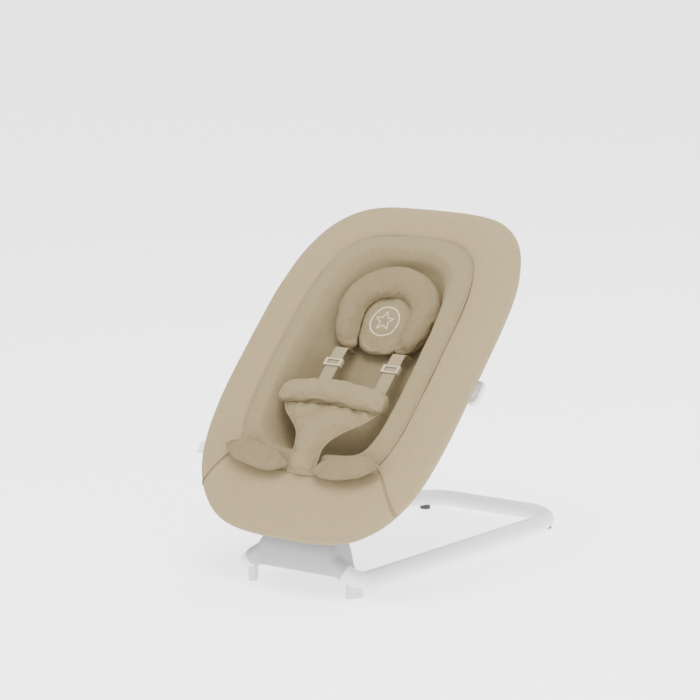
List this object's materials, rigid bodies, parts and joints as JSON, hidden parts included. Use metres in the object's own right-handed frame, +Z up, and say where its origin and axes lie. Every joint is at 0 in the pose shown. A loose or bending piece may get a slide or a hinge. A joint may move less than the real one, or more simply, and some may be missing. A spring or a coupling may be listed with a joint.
{
  "type": "bouncer seat",
  "caption": "Padded baby bouncer seat on a low tube base, with a three-position recline hinge, a soft newborn liner, a belly bar harness and squeeze-to-release tabs under the rim",
  "frame": {"origin": "on the floor, at the centre of the whole object's bounding box", "axes": "+X to the right of someone who faces the seat, +Y towards its back, +Z up; the seat faces -Y"},
  "size_m": [0.4518, 0.6554, 0.5733],
  "materials": {
    "powder_light": "fine satin powder coat",
    "plastic_grey": "moulded, finely textured",
    "plastic_dark": "moulded structural plastic",
    "plastic_light": "moulded, satin",
    "rubber_dark": "soft moulded rubber",
    "steel": "plated steel",
    "plastic_white": "moulded, semi-gloss",
    "cloth_sand": "quilted cotton jersey, matt",
    "cloth_sand_light": "padded cotton jersey, matt",
    "webbing": "flat woven webbing",
    "label_white": "blank woven tape"
  },
  "bodies": {
    "base": {"base_tube": "powder_light", "bridge_cover": "plastic_grey", "bridge_chassis": "plastic_dark", "front_foot_left": "plastic_light", "front_foot_right": "plastic_light", "rear_pad_left": "rubber_dark", "rear_pad_right": "rubber_dark", "tube_screws": "steel", "hinge_axle": "steel", "axle_clips": "steel", "bounce_springs": "steel"},
    "rocker": {"carrier": "steel", "index_plates": "steel"},
    "seat": {"seat_bracket": "plastic_dark", "arm_bushes": "plastic_white", "seat_frame": "steel", "seat_shell": "plastic_dark", "bracket_screws": "steel", "outer_cover": "cloth_sand", "newborn_liner": "cloth_sand", "head_ring": "cloth_sand_light", "head_disc": "cloth_sand_light", "belly_bar": "cloth_sand", "crotch_pad": "cloth_sand", "leg_pad_left": "cloth_sand_light", "leg_pad_right": "cloth_sand_light", "shoulder_straps": "webbing", "label_tab": "label_white", "trigger_housing_left": "plastic_dark", "trigger_housing_right": "plastic_dark", "release_cables": "rubber_dark", "trigger_spring_left": "steel", "trigger_spring_right": "steel", "lock_spring_left": "steel", "lock_spring_right": "steel"},
    "trigger_left_body": {"trigger_left": "plastic_white"},
    "trigger_right_body": {"trigger_right": "plastic_white"},
    "lock_pin_left_body": {"lock_pin_left": "steel"},
    "lock_pin_right_body": {"lock_pin_right": "steel"},
    "slider_left_body": {"slider_left": "plastic_white"},
    "slider_right_body": {"slider_right": "plastic_white"}
  },
  "joints": [
    {"name": "bounce", "type": "hinge", "parent": "base", "child": "rocker", "pos_m": [0, -0.2499, 0.062], "axis": [1, 0, 0], "range_deg": [-3, 3], "stiffness_Nm_per_rad": 2500},
    {"name": "recline", "type": "hinge", "parent": "rocker", "child": "seat", "pos_m": [0, -0.2499, 0.062], "axis": [-1, 0, 0], "range_deg": [0, 21]},
    {"name": "release_right", "type": "slide", "parent": "seat", "child": "trigger_right_body", "axis": [0, -0.7071, 0.7071], "range_m": [0, 0.006], "stiffness_N_per_m": 500, "springref_m": -0.004, "deforming": ["trigger_spring_right"]},
    {"name": "release_left", "type": "slide", "parent": "seat", "child": "trigger_left_body", "axis": [0, -0.7071, 0.7071], "range_m": [0, 0.006], "stiffness_N_per_m": 500, "springref_m": -0.004, "deforming": ["trigger_spring_left"]},
    {"name": "lock_right", "type": "slide", "parent": "seat", "child": "lock_pin_right_body", "axis": [0, 0.7071, 0.7071], "range_m": [0, 0.006], "stiffness_N_per_m": 500, "springref_m": -0.004, "deforming": ["lock_spring_right"]},
    {"name": "lock_left", "type": "slide", "parent": "seat", "child": "lock_pin_left_body", "axis": [0, 0.7071, 0.7071], "range_m": [0, 0.006], "stiffness_N_per_m": 500, "springref_m": -0.004, "deforming": ["lock_spring_left"]},
    {"name": "adjust_right", "type": "slide", "parent": "seat", "child": "slider_right_body", "axis": [0, -0.7433, -0.669], "range_m": [-0.006, 0.01]},
    {"name": "adjust_left", "type": "slide", "parent": "seat", "child": "slider_left_body", "axis": [0, -0.7433, -0.669], "range_m": [-0.006, 0.01]}
  ],
  "couplings": [
    {"joint": "lock_right", "follows": "release_right", "ratio": 1},
    {"joint": "lock_left", "follows": "release_left", "ratio": 1}
  ]
}
